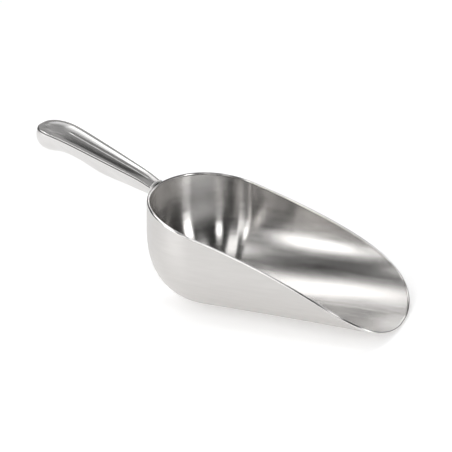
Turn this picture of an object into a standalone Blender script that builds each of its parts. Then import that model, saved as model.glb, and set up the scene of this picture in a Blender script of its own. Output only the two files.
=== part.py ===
"""Ice scoop: a pressed bowl, a hollow handle made of a trough and a top plate, and the root weld.

Metres, +Z up. The scoop stands on its bowl, the lip points to +X and the handle rises to -X.
"""
import math

import bmesh
import bpy
from mathutils import Vector

# Bowl, outer surface. The bowl's own frame has x = 0 where the round back ends, and z = 0 underneath.
HALF_WIDTH = 0.060
BACK_DEPTH = 0.0476            # from x = 0 back to the rear wall
LIP_REACH = 0.1249             # from x = 0 forward to the lip
BACK_HEIGHT = 0.0727           # rim height at the rear wall
RIM_BOW = 0.0131               # how far the rim bows up above a straight line
RIM_BOW_REAR = 0.0050          # how much of the bow is moved towards the lip
RIM_BOW_ENDS = 0.0043          # extra height near both ends of the rim
CURVE_HEIGHT = 0.0534          # height of the curved part of the section, at the back
CURVE_HEIGHT_LIP = 0.0337      # the same at the lip
CURVE_POWER = 2.5              # how squarely the curved part runs into the upright wall
WAIST = 0.0046                 # how far the sides draw in along the trough
FLARE = 0.0038                 # how much of that is won back towards the lip
LEAN = 0.204                   # inward lean of the walls, per metre of height
SHEET = 0.0015                 # bowl's sheet thickness
FLAT_SINK = 0.00016            # how much the round bottom is pressed flat

# Handle, in its own frame: along it from the bowl, y across, and height above its axis.
HANDLE_LENGTH = 0.0900
HANDLE_RISE = math.radians(22.0)
HANDLE_SHEET = 0.0010
PLATE_SHEET = 0.0008
TIP_START = 0.0734
TIP_POWER = 2.65               # bluntness of the tip's outline
HALF_WIDTHS = ((0.0, 0.0077), (0.015, 0.0093), (0.035, 0.0117), (0.055, 0.0137), (0.072, 0.0154))
TOP_LEVELS = ((0.0, 0.0002), (0.010, 0.0016), (0.028, 0.0023), (0.046, 0.0028), (0.062, 0.0031),
              (0.072, 0.0029), (0.080, 0.0020), (0.090, 0.0002))
KEEL_LEVELS = ((0.0, -0.0075), (0.018, -0.0091), (0.036, -0.0104), (0.052, -0.0087), (0.064, -0.0089),
               (0.076, -0.0129), (0.090, -0.0150))
FLANGE_ROOT = 0.0021           # width of the flat strip beside the raised panel, at the bowl
FLANGE_GRIP = 0.0036           # the same at the grip
FLANGE_RUN = 0.050             # distance over which it widens
CROWN = 0.0007                 # how far the panel's middle stands above the flat strips
GROOVE_DEPTH = 0.0005
GROOVE_HALF_WIDTH = 0.0014
GROOVE_ENDS = (0.006, 0.072)
KEEL_POWER = 2.3               # superellipse power of the trough's section
GAP = 0.0003                   # clearance between touching pieces
ROOT_GAP = 0.0008              # from the handle's end to the bowl's wall
WELD_SIZE = 0.0014

# Resolution
SECTION_STEPS = 16
BACK_RIBS = 24
TROUGH_RIBS = 14
LIP_RIBS = 20
LIP_PIVOT = 0.72               # the lip's ribs fan out from this share of LIP_REACH
HANDLE_RIBS = 22
TIP_RIBS = 14
PANEL_STEPS = 5
KEEL_STEPS = 10
PROBE_STEPS = 400


def clear_scene():
    for obj in list(bpy.data.objects):
        bpy.data.objects.remove(obj, do_unlink=True)


def steel(name, colour, roughness):
    material = bpy.data.materials.new(name)
    material.use_nodes = True
    shader = material.node_tree.nodes["Principled BSDF"]
    shader.inputs["Base Color"].default_value = (*colour, 1.0)
    shader.inputs["Metallic"].default_value = 1.0
    shader.inputs["Roughness"].default_value = roughness
    return material


def mix(a, b, t):
    return a + (b - a) * t


def ease(t):
    t = min(max(t, 0.0), 1.0)
    return t * t * (3.0 - 2.0 * t)


def through(points, x):
    """Height at x of a smooth curve through a few points (Catmull-Rom)."""
    for i in range(len(points) - 1):
        if x <= points[i + 1][0] or i == len(points) - 2:
            break
    (x1, y1), (x2, y2) = points[i], points[i + 1]
    x0, y0 = points[max(i - 1, 0)]
    x3, y3 = points[min(i + 2, len(points) - 1)]
    slope1 = (y2 - y0) / (x2 - x0)
    slope2 = (y3 - y1) / (x3 - x1)
    span = x2 - x1
    t = min(max((x - x1) / span, 0.0), 1.0)
    start = (1.0 + 2.0 * t) * (1.0 - t) ** 2 * y1 + t * (1.0 - t) ** 2 * span * slope1
    end = t * t * (3.0 - 2.0 * t) * y2 + t * t * (t - 1.0) * span * slope2
    return start + end


def evenly(curve, steps):
    """Points at equal distances along curve(t), t from 0 to 1."""
    dense = [Vector(curve(i / PROBE_STEPS)) for i in range(PROBE_STEPS + 1)]
    run = [0.0]
    for a, b in zip(dense, dense[1:]):
        run.append(run[-1] + (b - a).length)
    points = []
    k = 0
    for step in range(steps + 1):
        target = run[-1] * step / steps
        while k < PROBE_STEPS - 1 and run[k + 1] < target:
            k += 1
        stretch = max(run[k + 1] - run[k], 1e-12)
        points.append(dense[k].lerp(dense[k + 1], min(max((target - run[k]) / stretch, 0.0), 1.0)))
    return points


# ---- the bowl's outer surface ----

def rim_height(x):
    t = (x + BACK_DEPTH) / (LIP_REACH + BACK_DEPTH)
    away = 1.0 - 2.0 * t
    bow = RIM_BOW - RIM_BOW_REAR * away + RIM_BOW_ENDS * away * away
    return BACK_HEIGHT * (1.0 - t) + 4.0 * t * (1.0 - t) * bow


def section(x):
    """Curve height and half width of the trough's section at x."""
    t = max(x, 0.0) / LIP_REACH
    return mix(CURVE_HEIGHT, CURVE_HEIGHT_LIP, t), HALF_WIDTH - WAIST * t + FLARE * t * t


def height_at(share, x):
    """Height of the section where its spread is this share of its half width."""
    room = max(1.0 - min(share, 1.0) ** 2, 0.0)
    return max(section(x)[0] * (1.0 - room ** (1.0 / CURVE_POWER)) - FLAT_SINK, 0.0)


def flat_share(x):
    """Share of the half width that is pressed flat."""
    return math.sqrt(1.0 - (1.0 - FLAT_SINK / section(x)[0]) ** CURVE_POWER)


def wall_point(x, direction, share, z):
    """A point of the outer surface: direction is (x, y) for a spread of the whole half width."""
    lean = 1.0 - LEAN * z
    return Vector((x + direction[0] * share * lean, direction[1] * share * lean, z))


def upright_rib(x, direction):
    """Rib from the keel to the rim that stands straight up where the section ends."""
    top = section(x)[0] - FLAT_SINK
    flat = flat_share(x)
    rim = rim_height(x + direction[0])

    def curve(t):
        if t < 0.5:
            share = mix(flat, 1.0, math.sin(t * math.pi))
            return wall_point(x, direction, share, min(height_at(share, x), rim))
        return wall_point(x, direction, 1.0, mix(top, rim, 2.0 * t - 1.0))

    return [Vector((x, 0.0, 0.0))] + evenly(curve, SECTION_STEPS)


def low_height(x, y):
    """Height of the outer surface over a point of the trough's low front part."""
    return height_at(abs(y) / section(x)[1], x)


def low_reach(x, direction):
    """Distance from the keel point x, along a plan direction, to the rim of the low front part."""
    near, far = 0.0, LIP_REACH
    for _ in range(60):
        reach = (near + far) / 2.0
        px, py = x + direction[0] * reach, direction[1] * reach
        if px < LIP_REACH and abs(py) < section(px)[1] and low_height(px, py) < rim_height(px):
            near = reach
        else:
            far = reach
    return near


def low_rib(x, direction):
    """Rib over the low front part, from the keel point x along a plan direction to the rim."""
    rim = low_reach(x, direction)
    flat = min(flat_share(x) * section(x)[1] / max(abs(direction[1]), 1e-9), 0.5 * rim)

    def curve(t):
        reach = mix(flat, rim, t)
        px, py = x + direction[0] * reach, direction[1] * reach
        z = low_height(px, py)
        return Vector((px, py * (1.0 - LEAN * z), z))

    return [Vector((x, 0.0, 0.0))] + evenly(curve, SECTION_STEPS)


def bowl_ribs():
    """Ribs round the whole bowl, from the middle of the lip and back to it."""
    pivot = LIP_REACH * LIP_PIVOT
    side = []
    for i in range(LIP_RIBS):
        turn = math.pi / 2.0 * i / LIP_RIBS
        side.append(low_rib(pivot, (math.cos(turn), math.sin(turn))))
    for i in range(TROUGH_RIBS):
        x = pivot * (1.0 - i / TROUGH_RIBS)
        height, width = section(x)
        if rim_height(x) < height - FLAT_SINK:
            side.append(low_rib(x, (0.0, 1.0)))
        else:
            side.append(upright_rib(x, (0.0, width)))
    for i in range(BACK_RIBS // 2 + 1):
        turn = math.pi / 2.0 * (1.0 + 2.0 * i / BACK_RIBS)
        side.append(upright_rib(0.0, (BACK_DEPTH * math.cos(turn), HALF_WIDTH * math.sin(turn))))
    return side


def mirrored(ribs):
    """The other side's ribs, in reverse order, without those that lie in the middle plane."""
    others = [[Vector((p.x, -p.y, p.z)) for p in rib] for rib in reversed(ribs)]
    return [rib for rib in others if max(abs(p.y) for p in rib) > 1e-7]


def sheet_mesh(name, ribs, closed):
    """A sheet between neighbouring ribs. Ribs that start at one point share it."""
    mesh = bmesh.new()
    rows = [[mesh.verts.new(point) for point in rib] for rib in ribs]
    pairs = list(zip(rows, rows[1:]))
    if closed:
        pairs.append((rows[-1], rows[0]))
    for left, right in pairs:
        for k in range(len(left) - 1):
            mesh.faces.new((left[k], right[k], right[k + 1], left[k + 1]))
    bmesh.ops.remove_doubles(mesh, verts=mesh.verts, dist=1e-6)
    bmesh.ops.dissolve_degenerate(mesh, edges=mesh.edges, dist=1e-6)
    data = bpy.data.meshes.new(name)
    mesh.to_mesh(data)
    mesh.free()
    return data


def add_piece(name, data, material, parent):
    obj = bpy.data.objects.new(name, data)
    bpy.context.scene.collection.objects.link(obj)
    obj.parent = parent
    data.materials.append(material)
    data.shade_smooth()
    data.set_sharp_from_angle(angle=math.radians(35.0))
    return obj


def thicken(obj, thickness, offset):
    modifier = obj.modifiers.new("sheet", "SOLIDIFY")
    modifier.thickness = thickness
    modifier.offset = offset
    modifier.use_even_offset = True
    modifier.use_rim = True


def make_bowl(parent):
    side = bowl_ribs()
    data = sheet_mesh("bowl", side + mirrored(side), closed=True)
    bowl = add_piece("bowl", data, steel("bowl_steel", (0.62, 0.61, 0.60), 0.32), parent)
    thicken(bowl, SHEET, -1.0)
    return bowl


# ---- the handle, in its own frame ----

def plan_directions():
    """Keel point and outline direction of each rib, from the bowl along one side to the tip."""
    plan = []
    for i in range(HANDLE_RIBS):
        a = TIP_START * i / HANDLE_RIBS
        plan.append((a, 0.0, through(HALF_WIDTHS, a)))
    width = through(HALF_WIDTHS, TIP_START)
    for i in range(TIP_RIBS // 2 + 1):
        turn = math.pi / 2.0 * (1.0 - 2.0 * i / TIP_RIBS)
        out = max(math.sin(turn), 0.0) ** (2.0 / TIP_POWER)
        ahead = max(math.cos(turn), 0.0) ** (2.0 / TIP_POWER)
        plan.append((TIP_START, (HANDLE_LENGTH - TIP_START) * ahead, width * out))
    return plan


def flange(a):
    return mix(FLANGE_ROOT, FLANGE_GRIP, ease(a / FLANGE_RUN))


def groove(a, y):
    fade = ease((a - GROOVE_ENDS[0]) / 0.006) * ease((GROOVE_ENDS[1] - a) / 0.012)
    return GROOVE_DEPTH * fade * max(1.0 - abs(y) / GROOVE_HALF_WIDTH, 0.0)


def wall_lean():
    return 1.0 - LEAN * BACK_HEIGHT


def place(a, y, level):
    """A point of the handle. Near the bowl it is moved along to end at the bowl's upright rear wall."""
    height = BACK_HEIGHT + level * math.cos(HANDLE_RISE)
    lean = 1.0 - LEAN * height
    back = BACK_DEPTH * (lean * math.sqrt(max(1.0 - (y / (HALF_WIDTH * lean)) ** 2, 0.0)) - wall_lean())
    start = (back + level * math.sin(HANDLE_RISE) + ROOT_GAP) / math.cos(HANDLE_RISE)
    return Vector((a + start * (1.0 - ease(a / 0.030)), y, level))


def plate_rib(a0, ahead, across):
    """Half a section of the top plate: the crowned panel with its groove, then the flat strip."""
    width = math.hypot(ahead, across)
    panel = 1.0 - flange(a0) / width
    inner = GROOVE_HALF_WIDTH / width
    shares = [0.0] + [mix(inner, panel, i / PANEL_STEPS) for i in range(PANEL_STEPS + 1)] + [1.0]
    points = []
    for share in shares:
        a, y = a0 + ahead * share, across * share
        crown = CROWN * max(1.0 - (share / panel) ** 2, 0.0)
        points.append(place(a, y, through(TOP_LEVELS, a) + crown - groove(a, y)))
    return points


def trough_rib(a0, ahead, across):
    """Half a section of the trough, from its edge under the plate down to the keel."""
    edge = through(TOP_LEVELS, a0 + ahead) - PLATE_SHEET - GAP

    def curve(t):
        turn = t * math.pi / 2.0
        share = math.sin(turn) ** (2.0 / KEEL_POWER)
        a, y = a0 + ahead * share, across * share
        level = mix(edge, through(KEEL_LEVELS, a), math.cos(turn) ** (2.0 / KEEL_POWER))
        return place(a, y, level)

    return evenly(curve, KEEL_STEPS)


def make_shell(name, rib, sheet, offset, material, parent):
    side = [rib(*plan) for plan in plan_directions()]
    data = sheet_mesh(name, side + mirrored(side), closed=False)
    shell = add_piece(name, data, material, parent)
    thicken(shell, sheet, offset)
    return shell


def trough_outline(a):
    """The trough's section at a distance from the bowl, from one edge round the keel to the other."""
    side = trough_rib(a, 0.0, through(HALF_WIDTHS, a))
    return list(reversed(side)) + [Vector((p.x, -p.y, p.z)) for p in side[1:]]


def make_weld(material, parent):
    """A fillet round the trough's end, from edge to edge, clear of the handle and the bowl's wall."""
    loop = trough_outline(0.0)
    ahead = trough_outline(WELD_SIZE)
    inset = (ROOT_GAP - GAP) / math.cos(HANDLE_RISE)
    mesh = bmesh.new()
    rings = []
    for i, point in enumerate(loop):
        before, after = loop[max(i - 1, 0)], loop[min(i + 1, len(loop) - 1)]
        run = Vector((0.0, after.y - before.y, after.z - before.z)).normalized()
        out = Vector((0.0, -run.z, run.y))
        if out.dot(Vector((0.0, point.y, point.z - loop[0].z))) < 0.0:
            out = -out
        slant = out.z * math.tan(HANDLE_RISE)
        corner = point + out * GAP + Vector((slant * GAP - inset, 0.0, 0.0))
        on_wall = point + out * WELD_SIZE + Vector((slant * WELD_SIZE - inset, 0.0, 0.0))
        on_handle = ahead[i] + out * GAP
        middle = corner.lerp(on_wall.lerp(on_handle, 0.5), 0.8)
        rings.append([mesh.verts.new(p) for p in (corner, on_wall, middle, on_handle)])
    for here, there in zip(rings, rings[1:]):
        for k in range(4):
            mesh.faces.new((here[k], here[(k + 1) % 4], there[(k + 1) % 4], there[k]))
    mesh.faces.new(rings[0])
    mesh.faces.new(rings[-1])
    bmesh.ops.recalc_face_normals(mesh, faces=mesh.faces)
    data = bpy.data.meshes.new("root_weld")
    mesh.to_mesh(data)
    mesh.free()
    return add_piece("root_weld", data, material, parent)


def make_handle(parent):
    frame = bpy.data.objects.new("handle_frame", None)
    bpy.context.scene.collection.objects.link(frame)
    frame.parent = parent
    frame.location = (-BACK_DEPTH * wall_lean(), 0.0, BACK_HEIGHT)
    frame.rotation_euler = (0.0, -HANDLE_RISE, math.pi)
    polished = steel("handle_steel", (0.66, 0.65, 0.64), 0.20)
    make_shell("handle_top", plate_rib, PLATE_SHEET, -1.0, polished, frame)
    make_shell("handle_base", trough_rib, HANDLE_SHEET, 1.0, polished, frame)
    make_weld(steel("weld_steel", (0.60, 0.59, 0.58), 0.35), frame)
    return frame


def centre_on_origin(root):
    """Moves the whole scoop so that its box is centred on x = 0."""
    bpy.context.view_layer.update()
    graph = bpy.context.evaluated_depsgraph_get()
    spots = []
    for obj in bpy.context.scene.objects:
        if obj.type == "MESH":
            shape = obj.evaluated_get(graph)
            spots.extend((shape.matrix_world @ vertex.co).x for vertex in shape.data.vertices)
    root.location.x = -(min(spots) + max(spots)) / 2.0


def main():
    clear_scene()
    root = bpy.data.objects.new("scoop", None)
    bpy.context.scene.collection.objects.link(root)
    make_bowl(root)
    make_handle(root)
    centre_on_origin(root)


main()
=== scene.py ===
"""The ice scoop's looks: fine meshes of the bowl, handle shells and weld, and their steel."""
import math

import bmesh
import bpy
import numpy as np
from mathutils import Euler, Matrix, Vector


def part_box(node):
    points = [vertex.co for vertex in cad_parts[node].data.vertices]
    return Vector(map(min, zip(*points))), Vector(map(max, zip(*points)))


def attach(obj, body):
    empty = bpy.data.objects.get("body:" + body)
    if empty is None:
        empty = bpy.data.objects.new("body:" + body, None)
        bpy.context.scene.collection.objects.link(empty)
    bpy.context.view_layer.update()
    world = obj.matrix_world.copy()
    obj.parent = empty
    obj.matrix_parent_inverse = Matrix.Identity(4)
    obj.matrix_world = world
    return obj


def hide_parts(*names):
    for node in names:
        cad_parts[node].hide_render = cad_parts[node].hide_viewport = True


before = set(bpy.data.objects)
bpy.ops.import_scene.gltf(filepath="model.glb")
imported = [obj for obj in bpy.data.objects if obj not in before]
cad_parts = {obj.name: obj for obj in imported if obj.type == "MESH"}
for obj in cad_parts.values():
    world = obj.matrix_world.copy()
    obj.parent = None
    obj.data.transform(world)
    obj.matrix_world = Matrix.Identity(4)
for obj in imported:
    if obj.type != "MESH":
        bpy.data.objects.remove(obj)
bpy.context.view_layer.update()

BOWL_LOW, BOWL_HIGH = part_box("bowl")

# ---- the design's dimensions, in metres, as the CAD bowl has them ----
HALF_WIDTH = 0.060
BACK_DEPTH = 0.0476
LIP_REACH = 0.1249
BACK_HEIGHT = 0.0727
RIM_BOW = 0.0131
RIM_BOW_REAR = 0.0050
RIM_BOW_ENDS = 0.0043
CURVE_HEIGHT = 0.0534
CURVE_HEIGHT_LIP = 0.0337
CURVE_POWER = 2.5
WAIST = 0.0046
FLARE = 0.0038
LEAN = 0.204
FLAT_SINK = 0.00016
SHEET = 0.0015
BEAD = 0.0010                  # radius of the rounded rim
ORIGIN_X = BOWL_HIGH.x - LIP_REACH

HANDLE_LENGTH = 0.0900
HANDLE_RISE = math.radians(22.0)
HANDLE_SHEET = 0.0010
TIP_START = 0.0734
TIP_POWER = 2.65
HALF_WIDTHS = ((0.0, 0.0077), (0.015, 0.0093), (0.035, 0.0117), (0.055, 0.0137), (0.072, 0.0154))
TOP_LEVELS = ((0.0, 0.0002), (0.010, 0.0016), (0.028, 0.0023), (0.046, 0.0028), (0.062, 0.0031),
              (0.072, 0.0029), (0.080, 0.0020), (0.090, 0.0002))
KEEL_LEVELS = ((0.0, -0.0075), (0.018, -0.0091), (0.036, -0.0104), (0.052, -0.0087), (0.064, -0.0089),
               (0.076, -0.0129), (0.090, -0.0150))
FLANGE_ROOT = 0.0021
FLANGE_GRIP = 0.0036
FLANGE_RUN = 0.050
CROWN = 0.0007
GROOVE_DEPTH = 0.0006
GROOVE_HALF_WIDTH = 0.0009
GROOVE_ENDS = (0.004, 0.072)
KEEL_POWER = 2.3
PLATE_EDGE = 0.0003            # radius along the plate's upper edge
SEAM_TOP = 0.00055             # from the plate's top down to the seam
SEAM_GAP = 0.00065
ROOT_GAP = 0.0003
ROOT_RUN = 0.030               # length over which the handle's end follows the bowl's back
GROOVE_FADE_IN = 0.006
GROOVE_FADE_OUT = 0.012
WELD_RADIUS = 0.0010
WELD_FLATNESS = 0.7            # height of the ground bead against its width
WELD_RIPPLE = 0.08
WELD_RIPPLE_RATE = 1.7

# Resolution of the fine meshes
SECTION_STEPS = 60
BACK_RIBS = 80
TROUGH_RIBS = 60
LIP_RIBS = 56
LIP_PIVOT = 0.72
BEAD_STEPS = 12                # round the rim
HANDLE_RIBS = 90
TIP_RIBS = 60
PROBE_STEPS = 600
WALL_SHARE = 0.7               # share of an upright rib's parameter that the curved part takes
PANEL_STEPS = (12, 14)         # steps over the inner and the outer half of a panel of the plate
STRIP_STEPS = 5
EDGE_STEPS = 6
TROUGH_POINTS = 48
WELD_STEPS = 12
SHARP_ANGLE = 0.6
WELD_DISTANCE = 2e-6           # vertices closer than this are joined

# The brushing's map, in metres along and across the grain
GRAIN_RADIUS = 0.055
GRAIN_CENTRE_HEIGHT = 0.055
GRAIN_DEPTH = 0.05
GRAIN_SPAN = (0.3, 0.7)        # the range of the noise that the tones and roughness are spread over


def mix(a, b, t):
    return a + (b - a) * t


def ease(t):
    t = min(max(t, 0.0), 1.0)
    return t * t * (3.0 - 2.0 * t)


def through(points, x):
    """Height at x of a smooth curve through a few points."""
    for i in range(len(points) - 1):
        if x <= points[i + 1][0] or i == len(points) - 2:
            break
    (x1, y1), (x2, y2) = points[i], points[i + 1]
    x0, y0 = points[max(i - 1, 0)]
    x3, y3 = points[min(i + 2, len(points) - 1)]
    slope1 = (y2 - y0) / (x2 - x0)
    slope2 = (y3 - y1) / (x3 - x1)
    span = x2 - x1
    t = min(max((x - x1) / span, 0.0), 1.0)
    start = (1.0 + 2.0 * t) * (1.0 - t) ** 2 * y1 + t * (1.0 - t) ** 2 * span * slope1
    end = t * t * (3.0 - 2.0 * t) * y2 + t * t * (t - 1.0) * span * slope2
    return start + end


def at_distances(curve, distances):
    """Points of curve(t), t from 0 to 1, at these shares of its length."""
    dense = np.array([curve(i / PROBE_STEPS) for i in range(PROBE_STEPS + 1)], float)
    run = np.concatenate([[0.0], np.cumsum(np.linalg.norm(np.diff(dense, axis=0), axis=1))])
    spots = distances(run[-1])
    return np.stack([np.interp(spots, run, dense[:, axis]) for axis in range(3)], axis=1)


# ---- the bowl ----

def rim_height(x):
    t = (x + BACK_DEPTH) / (LIP_REACH + BACK_DEPTH)
    away = 1.0 - 2.0 * t
    bow = RIM_BOW - RIM_BOW_REAR * away + RIM_BOW_ENDS * away * away
    return BACK_HEIGHT * (1.0 - t) + 4.0 * t * (1.0 - t) * bow


def section(x):
    """Height of the curved part and half width of the section at x."""
    t = max(x, 0.0) / LIP_REACH
    return mix(CURVE_HEIGHT, CURVE_HEIGHT_LIP, t), HALF_WIDTH - WAIST * t + FLARE * t * t


def height_at(share, x):
    """Height of the section where its spread is this share of its half width."""
    share = min(share, 1.0)
    raised = section(x)[0] * (1.0 - (1.0 - share * share) ** (1.0 / CURVE_POWER))
    return max(raised - FLAT_SINK, 0.0)


def upright_rib(x, direction):
    """A line up the bowl where its wall is upright at the rim, from the keel to the rim."""
    height = section(x)[0]
    rim = rim_height(x + direction[0])

    def curve(t):
        if t < WALL_SHARE:
            share = math.sin(t / WALL_SHARE * math.pi / 2.0)
            z = min(height_at(share, x), rim)
        else:
            share = 1.0
            z = mix(height - FLAT_SINK, rim, (t - WALL_SHARE) / (1.0 - WALL_SHARE))
        lean = share * (1.0 - LEAN * z)
        return (x + direction[0] * lean, direction[1] * lean, z)

    return at_distances(curve, rib_spots)


def low_rib(x, direction):
    """A line from the keel to the rim where the rim cuts the curved part, as it does near the lip."""
    near, far = 0.0, LIP_REACH
    for _ in range(60):
        reach = (near + far) / 2.0
        px, py = x + direction[0] * reach, direction[1] * reach
        share = py / section(px)[1] if px < LIP_REACH else 2.0
        if share < 1.0 and height_at(share, px) < rim_height(px):
            near = reach
        else:
            far = reach

    def curve(t):
        reach = near * math.sin(t * math.pi / 2.0)
        px, py = x + direction[0] * reach, direction[1] * reach
        z = height_at(py / section(px)[1], px)
        return (px, py * (1.0 - LEAN * z), z)

    return at_distances(curve, rib_spots)


INNER_END = BEAD * (1.0 + math.sin(math.acos((SHEET - BEAD) / BEAD)))


def rib_spots(length):
    """Evenly spaced to where the inner surface ends, then where the outer one ends, then the rim line."""
    return np.concatenate([np.linspace(0.0, length - INNER_END, SECTION_STEPS), [length - BEAD, length]])


def bowl_ribs():
    pivot = LIP_REACH * LIP_PIVOT
    side = []
    for i in range(LIP_RIBS):
        turn = math.pi / 2.0 * i / LIP_RIBS
        side.append(low_rib(pivot, (math.cos(turn), math.sin(turn))))
    for i in range(TROUGH_RIBS):
        x = pivot * (1.0 - i / TROUGH_RIBS)
        height, width = section(x)
        if rim_height(x) < height - FLAT_SINK:
            side.append(low_rib(x, (0.0, 1.0)))
        else:
            side.append(upright_rib(x, (0.0, width)))
    for i in range(BACK_RIBS // 2 + 1):
        turn = math.pi / 2.0 * (1.0 + 2.0 * i / BACK_RIBS)
        side.append(upright_rib(0.0, (BACK_DEPTH * math.cos(turn), HALF_WIDTH * math.sin(turn))))
    ribs = np.array(side)
    ribs[-1, :, 1] = 0.0
    mirror = ribs[-2:0:-1] * np.array([1.0, -1.0, 1.0])
    return np.concatenate([ribs, mirror])


def outward_normals(ribs, closed, sign=1.0):
    """Unit normals of a grid of ribs, pointing out of the sheet."""
    along = np.gradient(ribs, axis=1)
    if closed:
        across = np.roll(ribs, -1, axis=0) - np.roll(ribs, 1, axis=0)
    else:
        across = np.gradient(ribs, axis=0)
    normals = np.cross(across, along) * sign
    normals /= np.maximum(np.linalg.norm(normals, axis=2, keepdims=True), 1e-12)
    return normals


def mesh_object(name, points, faces, face_slots, materials, grain_of, matrix=None):
    """A smooth mesh with a UV map whose u runs along the brushing."""
    data = bpy.data.meshes.new(name)
    data.from_pydata([tuple(p) for p in points], [], faces)
    for material in materials:
        data.materials.append(material)
    data.polygons.foreach_set("material_index", face_slots)
    grain = data.uv_layers.new(name="grain").data
    for polygon in data.polygons:
        centre = sum((data.vertices[i].co for i in polygon.vertices), Vector()) / len(polygon.vertices)
        for loop, i in zip(polygon.loop_indices, polygon.vertices):
            grain[loop].uv = grain_of(data.vertices[i].co, centre)
    if matrix is not None:
        data.transform(matrix)
    mesh = bmesh.new()
    mesh.from_mesh(data)
    bmesh.ops.remove_doubles(mesh, verts=mesh.verts, dist=WELD_DISTANCE)
    bmesh.ops.dissolve_degenerate(mesh, edges=mesh.edges, dist=WELD_DISTANCE / 2.0)
    mesh.to_mesh(data)
    mesh.free()
    data.shade_smooth()
    data.set_sharp_from_angle(angle=SHARP_ANGLE)
    obj = bpy.data.objects.new(name, data)
    bpy.context.scene.collection.objects.link(obj)
    return obj


def band_faces(rows, columns, closed):
    """Quads of a grid of points, row by row."""
    faces = []
    for i in range(rows if closed else rows - 1):
        j = (i + 1) % rows
        for k in range(columns - 1):
            faces.append((i * columns + k, j * columns + k, j * columns + k + 1, i * columns + k + 1))
    return faces


def bowl_grain(point, centre):
    """The brushing runs level: along the trough's sides and round its back."""
    x, y = point.x - ORIGIN_X, abs(point.y)
    if centre.x > ORIGIN_X:
        u = max(x, 0.0)
        out = y
    else:
        x = min(x, 0.0)
        middle = math.atan2(-(centre.x - ORIGIN_X) / BACK_DEPTH, abs(centre.y) / HALF_WIDTH)
        out = math.hypot(x / BACK_DEPTH, y / HALF_WIDTH) * HALF_WIDTH
        turn = math.atan2(-x / BACK_DEPTH, y / HALF_WIDTH) if out > 1e-4 else middle
        u = -turn * GRAIN_RADIUS
    v = math.atan2(out, GRAIN_CENTRE_HEIGHT - point.z) * GRAIN_DEPTH
    if centre.y > 0.0:
        u = -u - math.pi * GRAIN_RADIUS
    return u, v


def make_bowl(outside, inside, rim):
    ribs = bowl_ribs()
    ribs[:, :, 0] += ORIGIN_X
    normals = outward_normals(ribs, closed=True)
    normals[:, 0] = (0.0, 0.0, -1.0)
    tangent = ribs[:, -1] - ribs[:, -2]
    tangent /= np.linalg.norm(tangent, axis=1, keepdims=True)
    edge_normal = normals[:, -2]
    centre = ribs[:, -2] - edge_normal * BEAD
    turns = np.linspace(0.0, math.pi + math.acos((SHEET - BEAD) / BEAD), BEAD_STEPS + 1)[1:-1]
    bead = [centre + BEAD * (edge_normal * math.cos(a) + tangent * math.sin(a)) for a in turns]
    outer = ribs[:, :-1]
    inner = ribs[:, :-2] - normals[:, :-2] * SHEET
    profile = np.concatenate([outer, np.stack(bead, axis=1), inner[:, ::-1]], axis=1)
    rows, columns = profile.shape[:2]
    faces = band_faces(rows, columns, closed=True)
    outer_end = outer.shape[1] - 1
    inner_start = outer_end + len(bead) + 1
    slots = []
    for _ in range(rows):
        for k in range(columns - 1):
            slots.append(0 if k < outer_end else 2 if k < inner_start else 1)
    # slot 2, the rounded rim, takes the lighter rim steel, a painted highlight
    materials = (outside, inside, rim)
    return mesh_object("bowl_skin", profile.reshape(-1, 3), faces, slots, materials, bowl_grain)


# ---- the handle ----

def plan_directions():
    """Where the handle's ribs start on its middle line, and how far they run ahead and across."""
    plan = []
    for i in range(HANDLE_RIBS):
        a = TIP_START * i / HANDLE_RIBS
        plan.append((a, 0.0, through(HALF_WIDTHS, a)))
    width = through(HALF_WIDTHS, TIP_START)
    for i in range(TIP_RIBS // 2 + 1):
        turn = math.pi / 2.0 * (1.0 - 2.0 * i / TIP_RIBS)
        out = max(math.sin(turn), 0.0) ** (2.0 / TIP_POWER)
        ahead = max(math.cos(turn), 0.0) ** (2.0 / TIP_POWER)
        plan.append((TIP_START, (HANDLE_LENGTH - TIP_START) * ahead, width * out))
    return plan


def root_lean():
    return 1.0 - LEAN * BACK_HEIGHT


def place(a, y, level):
    """A point of the handle, moved so that its root end lies along the bowl's leaning back."""
    height = BACK_HEIGHT + level * math.cos(HANDLE_RISE)
    lean = 1.0 - LEAN * height
    back = BACK_DEPTH * (lean * math.sqrt(max(1.0 - (y / (HALF_WIDTH * lean)) ** 2, 0.0)) - root_lean())
    start = (back + level * math.sin(HANDLE_RISE) + ROOT_GAP) / math.cos(HANDLE_RISE)
    return (a + start * (1.0 - ease(a / ROOT_RUN)), y, level)


def groove(a, y):
    fade = ease((a - GROOVE_ENDS[0]) / GROOVE_FADE_IN) * ease((GROOVE_ENDS[1] - a) / GROOVE_FADE_OUT)
    return GROOVE_DEPTH * fade * math.exp(-(y / GROOVE_HALF_WIDTH) ** 2)


def plate_rib(a0, ahead, across):
    """Half a section of the top plate: groove, crowned panel, flat strip and rounded edge."""
    width = math.hypot(ahead, across)
    panel = 1.0 - mix(FLANGE_ROOT, FLANGE_GRIP, ease(a0 / FLANGE_RUN)) / width
    flat = 1.0 - PLATE_EDGE / width
    inner, outer = PANEL_STEPS
    shares = [0.5 * panel * (i / inner) ** 1.5 for i in range(inner)]
    shares += [mix(0.5 * panel, panel, i / outer) for i in range(outer + 1)]
    shares += [mix(panel, flat, i / STRIP_STEPS) for i in range(1, STRIP_STEPS + 1)]
    points = []
    for share in shares:
        a, y = a0 + ahead * share, across * share
        crown = CROWN * max(1.0 - (share / panel) ** 2, 0.0)
        points.append(place(a, y, through(TOP_LEVELS, a) + crown - groove(a, y)))
    level = through(TOP_LEVELS, a0 + ahead)
    for i in range(1, EDGE_STEPS + 1):
        turn = math.pi / 2.0 * i / EDGE_STEPS
        out = flat + (1.0 - flat) * math.sin(turn)
        points.append(place(a0 + ahead * out, across * out, level - PLATE_EDGE * (1.0 - math.cos(turn))))
    points.append(place(a0 + ahead, across, level - SEAM_TOP))
    return points


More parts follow.
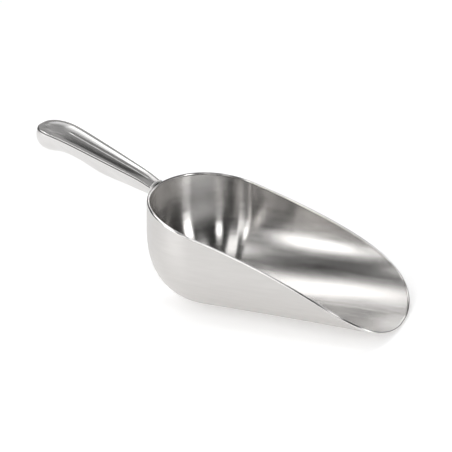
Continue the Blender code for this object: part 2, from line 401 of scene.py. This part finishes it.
def trough_rib(a0, ahead, across):
    """Half a section of the trough, from the keel up to the seam."""
    edge = through(TOP_LEVELS, a0 + ahead) - SEAM_TOP - SEAM_GAP

    def curve(t):
        turn = t * math.pi / 2.0
        share = math.sin(turn) ** (2.0 / KEEL_POWER)
        a, y = a0 + ahead * share, across * share
        level = mix(edge, through(KEEL_LEVELS, a), math.cos(turn) ** (2.0 / KEEL_POWER))
        return place(a, y, level)

    return at_distances(curve, lambda length: np.linspace(0.0, length, TROUGH_POINTS))


def handle_matrix():
    spot = Vector((ORIGIN_X - BACK_DEPTH * root_lean(), 0.0, BACK_HEIGHT))
    turn = Euler((0.0, -HANDLE_RISE, math.pi)).to_matrix().to_4x4()
    return Matrix.Translation(spot) @ turn


def handle_grain(point, centre):
    return point.x, math.copysign(abs(point.y) + abs(point.z), centre.y)


def make_shell(name, rib, sign, material, inside):
    """A sheet of the handle. The outer face is first, and the inner face and edges take near-black painted
    shade, standing in for the dark seam gap and the shade inside the hollow handle.
    """
    side = np.array([rib(*plan) for plan in plan_directions()], float)
    side[-1, :, 1] = 0.0
    ribs = np.concatenate([side, side[-2::-1] * np.array([1.0, -1.0, 1.0])])
    normals = outward_normals(ribs, closed=False, sign=sign)
    normals[:, 0] = normals[:, 0] * np.array([1.0, 0.0, 1.0])
    normals /= np.maximum(np.linalg.norm(normals, axis=2, keepdims=True), 1e-12)
    inner = ribs - normals * HANDLE_SHEET
    profile = np.concatenate([ribs, inner[:, ::-1]], axis=1)
    rows, columns = profile.shape[:2]
    faces = band_faces(rows, columns, closed=False)
    if sign > 0:
        faces = [face[::-1] for face in faces]
    steps = ribs.shape[1]
    for i, flip in ((0, False), (rows - 1, True)):
        base = i * columns
        for k in range(steps - 1):
            face = (base + k, base + k + 1, base + columns - 2 - k, base + columns - 1 - k)
            faces.append(face[::-1] if flip != (sign > 0) else face)
    # the inner face, the seam's edges and the end caps take slot 1: near-black painted shade
    slots = [int(k >= steps - 1) for _ in range(rows - 1) for k in range(columns - 1)]
    slots += [1] * (len(faces) - len(slots))
    return mesh_object(name, profile.reshape(-1, 3), faces, slots, (material, inside),
                       handle_grain, handle_matrix())


def make_weld(material):
    """The bead round the end of the handle, ground smooth where it meets the bowl."""
    width = through(HALF_WIDTHS, 0.0)
    low = np.array(trough_rib(0.0, 0.0, width), float)
    top = np.array(plate_rib(0.0, 0.0, width), float)[:-1:3]
    half = np.concatenate([low, top[::-1]])
    loop = np.concatenate([half, half[-2:0:-1] * np.array([1.0, -1.0, 1.0])])
    middle = loop.mean(axis=0)
    ahead = np.roll(loop, -1, axis=0) - np.roll(loop, 1, axis=0)
    ahead /= np.linalg.norm(ahead, axis=1, keepdims=True)
    out = np.cross(ahead, np.array([1.0, 0.0, 0.0]))
    out /= np.linalg.norm(out, axis=1, keepdims=True)
    out *= np.sign(((loop - middle) * out).sum(axis=1, keepdims=True))
    rings = []
    for i in range(WELD_STEPS):
        turn = 2.0 * math.pi * i / WELD_STEPS
        ripple = 1.0 + WELD_RIPPLE * np.sin(np.arange(len(loop)) * WELD_RIPPLE_RATE)[:, None]
        along = np.array([1.0, 0.0, 0.0]) * math.cos(turn)
        rings.append(loop + (out * math.sin(turn) * WELD_FLATNESS + along) * WELD_RADIUS * ripple)
    points = np.stack(rings, axis=1)
    rows = len(loop)
    faces = []
    for i in range(rows):
        j = (i + 1) % rows
        for k in range(WELD_STEPS):
            m = (k + 1) % WELD_STEPS
            faces.append((i * WELD_STEPS + k, i * WELD_STEPS + m, j * WELD_STEPS + m, j * WELD_STEPS + k))
    obj = mesh_object("root_weld_skin", points.reshape(-1, 3), faces, [0] * len(faces), (material,),
                      handle_grain, handle_matrix())
    mesh = bmesh.new()
    mesh.from_mesh(obj.data)
    bmesh.ops.recalc_face_normals(mesh, faces=mesh.faces)
    mesh.to_mesh(obj.data)
    mesh.free()
    return obj


# ---- materials ----

def link(material, source, target):
    material.node_tree.links.new(source, target)


def grain_noise(material, along, across, detail):
    """Noise drawn out along the brushing: cells per metre along it and across it."""
    nodes = material.node_tree.nodes
    grain = nodes.new("ShaderNodeUVMap")
    grain.uv_map = "grain"
    spread = nodes.new("ShaderNodeMapping")
    spread.inputs["Scale"].default_value = (along, across, 1.0)
    noise = nodes.new("ShaderNodeTexNoise")
    noise.inputs["Scale"].default_value = 1.0
    noise.inputs["Detail"].default_value = detail
    noise.inputs["Roughness"].default_value = 0.6
    link(material, grain.outputs["UV"], spread.inputs["Vector"])
    link(material, spread.outputs["Vector"], noise.inputs["Vector"])
    return noise.outputs["Fac"]


def ranged(material, value, low, high):
    scale = material.node_tree.nodes.new("ShaderNodeMapRange")
    scale.inputs["From Min"].default_value = GRAIN_SPAN[0]
    scale.inputs["From Max"].default_value = GRAIN_SPAN[1]
    scale.inputs["To Min"].default_value = low
    scale.inputs["To Max"].default_value = high
    link(material, value, scale.inputs["Value"])
    return scale.outputs["Result"]


def toned(material, value, dark, light):
    ramp = material.node_tree.nodes.new("ShaderNodeValToRGB")
    ramp.color_ramp.elements[0].position = GRAIN_SPAN[0]
    ramp.color_ramp.elements[0].color = (*dark, 1.0)
    ramp.color_ramp.elements[1].position = GRAIN_SPAN[1]
    ramp.color_ramp.elements[1].color = (*light, 1.0)
    link(material, value, ramp.inputs["Fac"])
    return ramp.outputs["Color"]


def steel(name, dark, light, roughness, stretch, bump):
    """Brushed steel. Tone, roughness and relief follow the grain; reflections stretch across it."""
    material = bpy.data.materials.new(name)
    material.use_nodes = True
    shader = material.node_tree.nodes["Principled BSDF"]
    shader.inputs["Metallic"].default_value = 1.0
    shader.inputs["Anisotropic"].default_value = stretch
    shader.inputs["Anisotropic Rotation"].default_value = 0.25
    tangent = material.node_tree.nodes.new("ShaderNodeTangent")
    tangent.direction_type = "UV_MAP"
    tangent.uv_map = "grain"
    link(material, tangent.outputs["Tangent"], shader.inputs["Tangent"])
    fine = grain_noise(material, 90.0, 5200.0, 3.0)
    broad = grain_noise(material, 40.0, 420.0, 4.0)
    link(material, toned(material, broad, dark, light), shader.inputs["Base Color"])
    link(material, ranged(material, broad, *roughness), shader.inputs["Roughness"])
    relief = material.node_tree.nodes.new("ShaderNodeBump")
    relief.inputs["Strength"].default_value = bump
    relief.inputs["Distance"].default_value = 0.00002
    link(material, fine, relief.inputs["Height"])
    link(material, relief.outputs["Normal"], shader.inputs["Normal"])
    return material


# ---- stage, light and camera ----

FLOOR_SIZE = 20.0
FLOOR_GAP = 0.0001             # keeps the paper just clear of the bowl's flat strip


def make_floor():
    bpy.ops.mesh.primitive_plane_add(size=FLOOR_SIZE, location=(0.0, 0.0, -FLOOR_GAP))
    floor = bpy.context.active_object
    floor.name = "floor"
    material = bpy.data.materials.new("floor_paper")
    material.use_nodes = True
    shader = material.node_tree.nodes["Principled BSDF"]
    shader.inputs["Base Color"].default_value = (0.95, 0.95, 0.95, 1.0)
    shader.inputs["Emission Color"].default_value = (1.0, 1.0, 1.0, 1.0)
    shader.inputs["Emission Strength"].default_value = 0.34
    shader.inputs["Roughness"].default_value = 0.9
    shader.inputs["Specular IOR Level"].default_value = 0.1
    floor.data.materials.append(material)


LIGHT_DISTANCE = 1.6
LIGHT_AIM = (0.02, 0.0, 0.03)  # from the bowl's own origin


def softbox(name, azimuth, elevation, width, height, brightness):
    """An area light that faces the scoop. Its place and size are in degrees, seen from the scoop."""
    a, e = math.radians(azimuth), math.radians(elevation)
    toward = Vector((math.sin(a) * math.cos(e), -math.cos(a) * math.cos(e), math.sin(e)))
    light = bpy.data.lights.new(name, "AREA")
    light.shape = "RECTANGLE"
    light.size = 2.0 * LIGHT_DISTANCE * math.tan(math.radians(width / 2.0)) * math.cos(e)
    light.size_y = 2.0 * LIGHT_DISTANCE * math.tan(math.radians(height / 2.0))
    light.energy = math.pi * light.size * light.size_y * brightness
    obj = bpy.data.objects.new(name, light)
    aim = Vector((LIGHT_AIM[0] + ORIGIN_X, LIGHT_AIM[1], LIGHT_AIM[2]))
    obj.location = aim + toward * LIGHT_DISTANCE
    side = Vector((math.cos(a), math.sin(a), 0.0))
    obj.rotation_euler = Matrix((side, toward.cross(side), toward)).transposed().to_euler()
    bpy.context.scene.collection.objects.link(obj)
    return obj


# name, azimuth, elevation, width, height (degrees), brightness
SOFTBOXES = (
    ("key_left", 300, 35, 45, 45, 1.3),
    ("strip_left_low", 315, 10, 40, 12, 4.0),
    ("rear_left", 230, 55, 60, 20, 2.2),
    ("overhead_front", 15, 65, 40, 40, 2.0),
    ("strip_front", 0, 20, 15, 40, 2.0),
    ("spot_right", 50, 30, 12, 15, 6.0),
    ("edge_right", 103, 10, 12, 20, 6.0),
    ("backdrop", 180, 14, 40, 26, 1.2),
    ("spot_left", 345, 36, 10, 20, 4.5),
    ("rear_high", 205, 55, 30, 15, 2.7),
    ("rear_low", 205, 14, 30, 18, 1.0),
    ("rear_middle", 190, 34, 40, 14, 0.3),
    ("rear_top", 150, 60, 60, 40, 0.4),
    ("right_top", 100, 50, 20, 15, 2.5),
    ("left_top", 300, 60, 30, 15, 4.0),
)


def make_world():
    world = bpy.data.worlds.new("studio")
    bpy.context.scene.world = world
    world.use_nodes = True
    background = world.node_tree.nodes["Background"]
    background.inputs["Color"].default_value = (1.0, 1.0, 1.0, 1.0)
    background.inputs["Strength"].default_value = 0.02


CAMERA_AZIMUTH = 0.3705
CAMERA_ELEVATION = 0.3494
CAMERA_DISTANCE = 0.96
CAMERA_AIM = (0.0029, 0.0, 0.0498)
CAMERA_LENS = 116.472


def make_camera():
    data = bpy.data.cameras.new("camera")
    data.lens = CAMERA_LENS
    data.sensor_width = 36.0
    camera = bpy.data.objects.new("camera", data)
    aim = Vector((CAMERA_AIM[0] + ORIGIN_X, CAMERA_AIM[1], CAMERA_AIM[2]))
    toward = Vector((math.sin(CAMERA_AZIMUTH) * math.cos(CAMERA_ELEVATION),
                     -math.cos(CAMERA_AZIMUTH) * math.cos(CAMERA_ELEVATION), math.sin(CAMERA_ELEVATION)))
    camera.location = aim + toward * CAMERA_DISTANCE
    camera.rotation_euler = toward.to_track_quat("Z", "Y").to_euler()
    bpy.context.scene.collection.objects.link(camera)
    bpy.context.scene.camera = camera


make_camera()
make_world()
make_floor()
for settings in SOFTBOXES:
    softbox(*settings)
bpy.context.scene.view_settings.view_transform = "Standard"

outside = steel("bowl_outside", (0.61, 0.595, 0.58), (0.65, 0.635, 0.62), (0.40, 0.44), 0.4, 0.08)
inside = steel("bowl_inside", (0.56, 0.545, 0.53), (0.66, 0.645, 0.63), (0.20, 0.25), 0.96, 0.15)
# the rim's steel: lower roughness for its own polish, and a lighter tone than the body, which is a painted
# highlight along the rolled rim
rim = steel("bowl_rim_painted_highlight", (0.64, 0.63, 0.62), (0.78, 0.77, 0.76), (0.10, 0.22), 0.0, 0.1)
bowl = make_bowl(outside, inside, rim)
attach(bowl, "root")
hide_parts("bowl")
handle_steel = steel("handle_steel_fine", (0.64, 0.63, 0.62), (0.70, 0.69, 0.68), (0.15, 0.20), 0.5, 0.1)
# near-black steel: painted shade in the seam's gap and inside the hollow handle, not the steel's own
# colour
handle_painted_shade = steel("handle_inside_painted_shade", (0.03, 0.03, 0.03), (0.08, 0.08, 0.08), (0.5, 0.7), 0.0, 0.2)
top = make_shell("handle_top_skin", plate_rib, 1.0, handle_steel, handle_painted_shade)
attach(top, "root")
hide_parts("handle_top")
base = make_shell("handle_base_skin", trough_rib, -1.0, handle_steel, handle_painted_shade)
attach(base, "root")
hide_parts("handle_base")

weld = make_weld(steel("weld_steel_fine", (0.60, 0.59, 0.58), (0.68, 0.67, 0.66), (0.28, 0.36), 0.2, 0.3))
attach(weld, "root")
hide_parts("root_weld")
